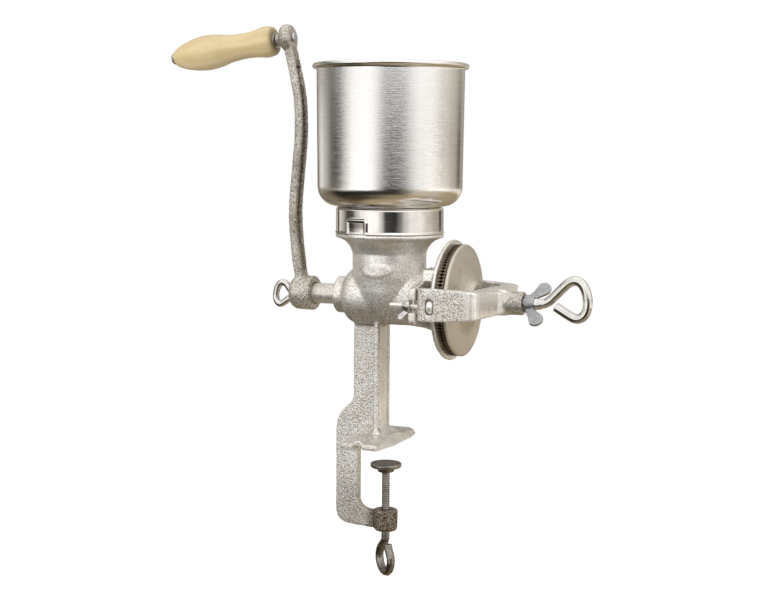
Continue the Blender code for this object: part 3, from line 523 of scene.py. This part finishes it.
def make_crank_arm():
    piece = skin("crank_arm_casting", "crank_arm", 0.6 * MM, 5)
    points = points_of(piece.data)
    relax(piece.data, 16, 0.6, box_mask(points, (-0.11, -0.02, 0.141), (-0.06, 0.02, 0.152), 0.006))
    points = points_of(piece.data)
    # Painted shade: the channel along the arm's +X face is nearly filled with the dark colour; the random patches below
    # are sooty dirt.
    channel_shade = np.clip(normals_of(piece.data)[:, 0] * 3 - 0.6, 0, 1)
    channel_shade = channel_shade * np.clip((4.6 * MM - np.abs(points[:, 1])) / MM, 0, 1)
    channel_shade *= box_mask(points, (-1, -1, 0.150), (1, 1, 0.335), 0.004)
    unevenness(piece.data, 0.006, 0.00025)
    pebble_everywhere(piece.data, 0.9)
    patches = np.array([noise.noise(Vector(point) / 0.022) for point in points]) * 0.5 + 0.22
    set_attribute(piece.data, "painted_shade_and_soot", np.maximum(0.9 * channel_shade, np.clip(patches, 0, 0.5)))
    return finish_piece(piece, "crank", "tinned_casting", crank_casting, "crank_arm")


def make_shaft():
    piece = skin("feed_screw", "auger", 0.6 * MM, 4)
    pebble_everywhere(piece.data, 0.4)
    return finish_piece(piece, "crank", "tinned_casting", crank_casting, "auger")


def make_disc():
    piece = skin("burr_disc", "rotating_disc", 0.7 * MM, 3)
    unevenness(piece.data, 0.012, 0.00018)
    pebble_everywhere(piece.data, 0.7)
    return finish_piece(piece, "crank", "tinned_casting", shaded_disc_casting, "rotating_disc")


# ---------------------------------------------------------------- hopper

def make_cup():
    low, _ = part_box("hopper_cup")
    base = low.z / MM
    radius, corner, sheet, rim = 63.2, 17.0, 1.0, 329.0
    top = radius + 1.0
    outer = [(37, base)] + arc((radius - corner, base + corner), corner, -90, 0, 20)
    outer += [(radius + 0.03, base + corner + 3), (radius + 0.5, (base + corner + rim) / 2)]
    outer += [(top - 0.04, rim - 7), (top - 0.01, rim - 4), (top, rim - 2.6)]
    bead = arc((top + 1.5, rim), 2.2, -115, 150, 16)
    inner = [(top - sheet, rim - 1), (top - sheet - 0.02, rim - 4), (radius - sheet + 0.5, (base + corner + rim) / 2)]
    inner += [(radius - sheet + 0.03, base + corner + 3)]
    inner += arc((radius - corner, base + corner), corner - sheet, 0, -90, 16) + [(37, base + sheet)]
    cup = turned("hopper_cup_sheet", outer + bead + inner, 144)
    return finish_piece(cup, "hopper", "brushed_cup", cup_steel, "hopper_cup")


def make_collar():
    low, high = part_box("hopper_collar")
    foot, top = low.z / MM, high.z / MM
    radius, sheet, shoulder = 47.0, 1.0, 3.0
    heights = [foot + 0.5 + (top - shoulder - foot - 0.5) * step / 36 for step in range(37)]
    outer = arc((radius, foot + 0.7), 0.7, -110, 60, 6) + [(radius, height) for height in heights[3:]]
    outer += arc((radius - shoulder, top - shoulder), shoulder, 8, 90, 8)
    inner = [(38, top), (38, top - sheet)]
    inner += arc((radius - shoulder, top - shoulder), shoulder - sheet, 90, 0, 6)
    inner += [(radius - sheet, heights[30]), (radius - sheet, heights[15]), (radius - sheet, foot)]
    collar = turned("hopper_collar_sheet", outer + inner, 360)
    mesh = collar.data
    points = points_of(mesh)
    angle = np.degrees(np.arctan2(points[:, 1], points[:, 0]))
    reach = np.hypot(points[:, 0], points[:, 1])
    raised = np.zeros(len(points))
    painted_shade_and_soot = np.zeros(len(points))
    for turn in (0, 180):
        side = (angle - (POCKET_ANGLE + turn) + 180) % 360 - 180
        sideways = np.abs(np.radians(side)) * radius
        upward = points[:, 2] / MM - POCKET_Z
        corner_x = np.maximum(sideways - 7.4, 0)
        corner_z = np.maximum(upward - 7.4, 0)
        edge = np.hypot(corner_x, corner_z)
        plateau = np.clip((4.0 - edge) / 1.5, 0, 1)
        dish = np.clip((2.2 - edge) / 1.8, 0, 1)
        plateau = plateau * plateau * (3 - 2 * plateau)
        dish = dish * dish * (3 - 2 * dish)
        raised += (plateau * 1.4 - dish * 0.9) * (upward > -2)
        # Painted shade: the upper part of each pocket's dish is darkened.
        painted_shade_and_soot += dish * np.clip(upward / 4, 0, 1)
    raised *= (reach > (radius - sheet - 0.3) * MM) & (points[:, 2] < (top - shoulder) * MM)
    points[:, :2] *= (1 + raised * MM / np.maximum(reach, 1e-9))[:, None]
    set_points(mesh, points)
    set_attribute(mesh, "painted_shade_and_soot", 0.75 * painted_shade_and_soot)
    return finish_piece(collar, "hopper", "polished_collar", collar_steel, "hopper_collar")


# ---------------------------------------------------------------- burrs

def make_burr(name, node, body, back, face, inner):
    """A toothed ring about the shaft; its grooves deepen towards the rim."""
    outer, teeth, per_tooth = 48.0, 96, 8
    sign = 1 if face > back else -1
    radii = [inner, inner + 4, inner + 4.5, 34, 41, 41.4, 46.5, 47.6, outer]
    depths = [0.5, 0.5, 0.9, 1.0, 1.0, 1.5, 1.6, 1.7, 1.9]
    shape = bmesh.new()
    rings = []
    for step in range(teeth * per_tooth):
        angle = 2 * math.pi * step / (teeth * per_tooth)
        wave = 0.5 - 0.5 * math.cos(2 * math.pi * step / per_tooth)
        groove = min(1.0, max(0.0, wave * 1.9 - 0.45))
        section = [(back, inner)]
        for radius, depth in zip(radii, depths):
            section.append((face - sign * depth * groove * min(1.0, abs(face - back) / 3.0), radius))
        section.append((back, outer))
        ring = []
        for x, radius in section:
            y, z = radius * MM * math.sin(angle), radius * MM * math.cos(angle) + SHAFT_Z
            ring.append(shape.verts.new((x * MM, y, z)))
        rings.append(ring)
    for index, low in enumerate(rings):
        high = rings[(index + 1) % len(rings)]
        for step in range(len(low)):
            after = (step + 1) % len(low)
            shape.faces.new((low[step], low[after], high[after], high[step]))
    bmesh.ops.recalc_face_normals(shape, faces=shape.faces)
    mesh = bpy.data.meshes.new(name)
    shape.to_mesh(mesh)
    shape.free()
    piece = link(name, mesh)
    finish_piece(piece, body, "burr_iron", iron, node)
    mesh.set_sharp_from_angle(angle=math.radians(50))
    return piece


# ---------------------------------------------------------------- hardware

def make_small_skin(name, node, body, slot, material, voxel, rounds):
    piece = skin(name, node, voxel, rounds)
    return finish_piece(piece, body, slot, material, node)


def make_adjuster():
    low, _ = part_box("adjusting_screw")
    piece = skin("adjusting_eye_screw", "adjusting_screw", WIRE_VOXEL, WIRE_ROUNDS)
    thread(piece.data, (0.0, SHAFT_Z), 0, low.x + 1.5 * MM, low.x + 48 * MM, 5.5 * MM, 1.5 * MM, 0.6 * MM)
    return finish_piece(piece, "adjuster", "zinc_steel", wire, "adjusting_screw")


def make_clamp_screw():
    _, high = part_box("clamp_screw")
    piece = skin("clamp_eye_screw", "clamp_screw", WIRE_VOXEL, WIRE_ROUNDS)
    thread(piece.data, (-0.002, 0.0), 2, -0.084, high.z - 3 * MM, 3.9 * MM, 2.0 * MM, 0.6 * MM)
    return finish_piece(piece, "clamp_handle", "dark_steel", dark_steel, "clamp_screw")


def grip_matrix():
    """The grip's own frame, with Z along its pin away from the crank."""
    return Matrix.Translation(GRIP_CENTRE) @ Matrix.Rotation(-math.radians(90 + GRIP_DROOP), 4, "Y")


def make_grip():
    start, length, bore = 13.3, 103.5, 3.3
    end = start + length
    swell = [(13.3, 4), (13.8, 9), (12.0, 20), (11.4, 31), (12.4, 46), (14.7, 57), (15.7, 69), (14.5, 81),
             (12.1, 91), (8.9, 99.3), (6.6, 102.6), (5.2, 103.4)]
    swell = [(10.2, 0.0), (11.6, 0.4), (12.7, 1.7)] + swell
    profile = [(bore, start)] + smooth_curve([(radius, start + reach) for radius, reach in swell], 6) + [(bore, end)]
    matrix = grip_matrix()
    grip = turned("wooden_grip", profile, 96, matrix)
    return finish_piece(grip, "handle", "pale_wood", pale_wood(matrix), "grip")


def dress_kept_nodes():
    """CAD nodes whose shape is right keep it and get the finished materials."""
    kept = {
        "drive_pin": zinc, "thrust_ball": collar_steel, "grip_bolt": zinc, "grip_washer": dark_steel,
        "yoke_bolt_front": casting, "yoke_bolt_back": casting, "stationary_burr_screw_upper": zinc,
        "stationary_burr_screw_lower": zinc, "rotating_burr_screw_front": zinc, "rotating_burr_screw_back": zinc,
    }
    for node, material in kept.items():
        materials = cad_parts[node].data.materials
        for index in range(len(materials)):
            materials[index] = material


make_housing()
make_yoke()
make_crank_arm()
make_shaft()
make_disc()
make_cup()
make_collar()
make_burr("stationary_burr_teeth", "stationary_burr", "frame", 61.3, 64.3, 20.5)
make_burr("rotating_burr_teeth", "rotating_burr", "crank", 67.7, 65.0, 19.0)
make_adjuster()
make_clamp_screw()
make_small_skin("crank_eye_screw_wire", "crank_eye_screw", "crank_screw", "zinc_steel", wire,
                WIRE_VOXEL, WIRE_ROUNDS)
make_small_skin("lock_wing_nut_pressed", "lock_wing_nut", "lock_nut", "zinc_steel", zinc, 0.4 * MM, 5)
make_small_skin("wing_nut_front_pressed", "wing_nut_front", "nut_front", "zinc_steel", bright_zinc, 0.3 * MM, 4)
make_small_skin("wing_nut_back_pressed", "wing_nut_back", "nut_back", "zinc_steel", bright_zinc, 0.3 * MM, 4)
make_small_skin("clamp_pad_turned", "clamp_pad", "clamp_plate", "dark_steel", dark_steel, 0.45 * MM, 4)
make_grip()
dress_kept_nodes()


# ---------------------------------------------------------------- studio

def make_floor():
    """A pale floor that fades to plain white away from the mill; metals don't mirror it."""
    bpy.ops.mesh.primitive_circle_add(vertices=96, radius=6.0, fill_type="NGON", location=(0, 0, FLOOR))
    floor = bpy.context.object
    floor.name = "studio_floor"
    graph = Graph("studio_floor_paint", 0.0)
    colour = graph.mix(graph.noise(3.0, 2), (0.90, 0.895, 0.885), (0.93, 0.925, 0.915))
    roughness = graph.ramp(graph.noise(40.0, 2), 0.3, 0.7, 0.8, 0.9)
    graph.done(colour, roughness, graph.bump(graph.noise(400.0), 0.0001, 0.2))
    far = graph.nodes.new("ShaderNodeVectorMath")
    far.operation = "LENGTH"
    graph.put(far.inputs[0], graph.place)
    glow = graph.nodes.new("ShaderNodeEmission")
    glow.inputs["Color"].default_value = (1.0, 1.0, 1.0, 1.0)
    blend = graph.nodes.new("ShaderNodeMixShader")
    graph.put(blend.inputs[0], graph.ramp(far.outputs["Value"], 0.22, 0.75))
    graph.put(blend.inputs[1], graph.shader.outputs[0])
    graph.put(blend.inputs[2], glow.outputs[0])
    graph.put(graph.nodes["Material Output"].inputs["Surface"], blend.outputs[0])
    floor.data.materials.append(graph.material)
    floor.visible_glossy = False


def colour_band(world, value, stops):
    """A colour ramp over 0 to 1 with smooth steps; stops are (place, colour)."""
    node = world.nodes.new("ShaderNodeValToRGB")
    node.color_ramp.interpolation = "EASE"
    world.links.new(value, node.inputs[0])
    ramp = node.color_ramp
    while len(ramp.elements) > 1:
        ramp.elements.remove(ramp.elements[-1])
    ramp.elements[0].position = stops[0][0]
    ramp.elements[0].color = (*stops[0][1], 1.0)
    for place, colour in stops[1:]:
        ramp.elements.new(place).color = (*colour, 1.0)
    return node.outputs[0]


def make_world():
    """What the metals mirror: bright walls with dark gaps between them, a ceiling and a warm table.

    Angles are degrees round from the camera's side; each stop is (angle, brightness, warmth). The
    layers are stacked from below upwards, and a view that meets no piece sees plain white."""
    item = bpy.data.worlds.new("studio")
    bpy.context.scene.world = item
    item.use_nodes = True
    world = item.node_tree
    world.nodes.clear()

    def maths(operation, first, second=0.0):
        node = world.nodes.new("ShaderNodeMath")
        node.operation = operation
        for socket, value in zip(node.inputs, (first, second)):
            if isinstance(value, bpy.types.NodeSocket):
                world.links.new(value, socket)
            else:
                socket.default_value = value
        return node.outputs[0]

    direction = world.nodes.new("ShaderNodeTexCoord").outputs["Generated"]
    turn = world.nodes.new("ShaderNodeVectorRotate")
    turn.rotation_type = "Z_AXIS"
    turn.inputs["Angle"].default_value = -math.radians(CAMERA_AZIMUTH)
    world.links.new(direction, turn.inputs["Vector"])
    split = world.nodes.new("ShaderNodeSeparateXYZ")
    world.links.new(turn.outputs[0], split.inputs[0])
    x, y, z = split.outputs
    side = maths("ARCTAN2", x, maths("MULTIPLY", y, -1.0))
    side = maths("ADD", maths("DIVIDE", side, 2 * math.pi), 0.5)
    height = maths("ADD", maths("DIVIDE", maths("ARCSINE", z), math.pi), 0.5)

    def degrees_side(angle):
        return angle / 360 + 0.5

    def degrees_up(angle):
        return angle / 180 + 0.5

    def grey(value, warm=0.0):
        return (value, value * (1 - 0.10 * warm), value * (1 - 0.25 * warm))

    def around(*stops):
        return colour_band(world, side, [(degrees_side(angle), grey(value, warm)) for angle, value, warm in stops])

    def fade(start, end):
        return colour_band(world, height, [(0.0, grey(0.0)), (degrees_up(start), grey(0.0)),
                                           (degrees_up(end), grey(1.0)), (1.0, grey(1.0))])

    ceiling = around((-180, 1.20, 0.1), (180, 1.20, 0.1))
    upper_wall = around(
        (-180, 0.30, 0.4), (-150, 0.26, 0.5), (-134, 0.16, 0.6), (-114, 0.20, 0.5), (-99, 0.34, 0.4),
        (-86, 0.66, 0.2), (-70, 0.98, 0.2), (-50, 1.06, 0.1), (-30, 1.06, 0.1), (-12, 1.14, 0.1), (0, 1.22, 0.1),
        (8, 1.22, 0.1), (26, 1.18, 0.1), (45, 1.18, 0.1), (68, 1.12, 0.2), (90, 0.92, 0.4), (110, 0.74, 0.7),
        (130, 0.52, 0.9), (150, 0.48, 0.8), (180, 0.30, 0.4))
    lower_wall = around(
        (-180, 0.30, 0.4), (-156, 0.45, 0.4), (-136, 0.85, 0.3), (-122, 0.55, 0.5), (-102, 0.06, 0.8), (-86, 0.05, 0.8),
        (-74, 0.55, 0.3), (-62, 1.05, 0.2), (-42, 1.16, 0.1), (-27, 1.08, 0.1), (-19, 0.72, 0.2), (-10, 0.06, 0.5),
        (12, 0.03, 0.5), (22, 0.20, 0.3), (33, 0.70, 0.2), (45, 0.92, 0.2), (66, 0.88, 0.3), (88, 0.60, 0.8),
        (118, 0.42, 1.0), (128, 0.38, 1.0), (133, 0.06, 0.8), (140, 0.08, 0.8), (146, 0.40, 0.9), (180, 0.30, 0.4))
    wall_foot = around(
        (-180, 0.35, 1.2), (-130, 0.30, 1.2), (-98, 0.30, 0.8), (-78, 0.90, 0.3), (-62, 1.45, 0.2), (-30, 1.45, 0.2),
        (-17, 0.50, 0.3), (-6, 0.06, 0.7), (8, 0.05, 0.7), (20, 0.20, 0.6), (33, 0.55, 0.5), (48, 0.95, 0.3),
        (70, 1.45, 0.3), (95, 1.35, 0.5), (116, 0.90, 0.9), (150, 0.85, 1.0), (180, 0.35, 1.6))
    table_edge = around(
        (-180, 0.26, 1.8), (-130, 0.20, 1.8), (-98, 0.02, 1.0), (8, 0.04, 1.0), (23, 0.14, 1.2), (33, 0.32, 1.2),
        (43, 0.56, 1.1), (75, 0.56, 1.3), (92, 0.48, 1.7), (110, 0.40, 1.9), (180, 0.28, 1.9))
    table = around(
        (-180, 0.28, 2.0), (-125, 0.15, 2.0), (-95, 0.05, 1.8), (-60, 0.05, 1.8), (-30, 0.13, 1.8), (0, 0.27, 2.0),
        (30, 0.33, 2.0), (45, 0.42, 2.0), (85, 0.38, 2.0), (120, 0.33, 2.0), (180, 0.28, 2.0))
    below = around((-180, 0.40, 2.1), (180, 0.40, 2.1))

    def blend_colours(operation, first, second):
        node = world.nodes.new("ShaderNodeVectorMath")
        node.operation = operation
        world.links.new(first, node.inputs[0])
        world.links.new(second, node.inputs[1])
        return node.outputs[0]

    total = below
    for layer, start, end in ((table, -72, -58), (table_edge, -44, -35), (wall_foot, -15, -11),
                              (lower_wall, -5.5, -3.5), (upper_wall, 0.2, 4.2), (ceiling, 28, 48)):
        change = blend_colours("MULTIPLY", blend_colours("SUBTRACT", layer, total), fade(start, end))
        total = blend_colours("ADD", total, change)
    studio = world.nodes.new("ShaderNodeBackground")
    world.links.new(total, studio.inputs["Color"])
    studio.inputs["Strength"].default_value = 1.0
    backdrop = world.nodes.new("ShaderNodeBackground")
    backdrop.inputs["Color"].default_value = (1.0, 1.0, 1.0, 1.0)
    seen = world.nodes.new("ShaderNodeLightPath").outputs["Is Camera Ray"]
    blend = world.nodes.new("ShaderNodeMixShader")
    world.links.new(seen, blend.inputs[0])
    world.links.new(studio.outputs[0], blend.inputs[1])
    world.links.new(backdrop.outputs[0], blend.inputs[2])
    world.links.new(blend.outputs[0], world.nodes.new("ShaderNodeOutputWorld").inputs[0])


def make_softbox(name, azimuth, elevation, distance, size, power, colour):
    """A broad lamp aimed at the barrel; metals mirror the surroundings and not the lamp itself."""
    light = bpy.data.lights.new(name, "AREA")
    light.shape = "RECTANGLE"
    light.size, light.size_y = size
    light.energy = power
    light.color = colour
    item = bpy.data.objects.new(name, light)
    a, e = math.radians(azimuth), math.radians(elevation)
    back = Vector((math.sin(a) * math.cos(e), -math.cos(a) * math.cos(e), math.sin(e)))
    item.location = LAMP_TARGET + back * distance
    item.rotation_mode = "QUATERNION"
    item.rotation_quaternion = (-back).to_track_quat("-Z", "Y")
    item.visible_camera = False
    item.visible_glossy = False
    bpy.context.scene.collection.objects.link(item)


def make_camera():
    azimuth, pitch, roll = (math.radians(angle) for angle in (CAMERA_AZIMUTH, CAMERA_PITCH, CAMERA_ROLL))
    back = Vector((math.sin(azimuth) * math.cos(pitch), -math.cos(azimuth) * math.cos(pitch), math.sin(pitch)))
    level = Vector((math.cos(azimuth), math.sin(azimuth), 0.0))
    upright = level.cross(-back)
    right = level * math.cos(roll) + upright * math.sin(roll)
    up = upright * math.cos(roll) - level * math.sin(roll)
    lens = bpy.data.cameras.new("camera")
    lens.sensor_width = CAMERA_SENSOR
    lens.lens = CAMERA_LENS
    lens.clip_start = 0.01
    lens.clip_end = 50.0
    camera = bpy.data.objects.new("camera", lens)
    bpy.context.scene.collection.objects.link(camera)
    columns = Matrix((right, up, back)).transposed().to_4x4()
    camera.matrix_world = Matrix.Translation(CAMERA_PLACE) @ columns
    bpy.context.scene.camera = camera


make_floor()
make_world()
make_softbox("left_softbox", -34, 20, 1.9, (1.4, 0.9), 32, (1.0, 0.99, 0.975))
make_softbox("top_softbox", 20, 58, 1.8, (1.8, 1.4), 11, (1.0, 0.99, 0.97))
make_softbox("right_softbox", 84, 6, 1.9, (0.9, 0.8), 7, (1.0, 0.86, 0.66))
make_softbox("back_softbox", 200, 40, 1.9, (1.2, 1.0), 5, (1.0, 0.98, 0.95))
make_camera()
bpy.context.scene.view_settings.view_transform = "Standard"
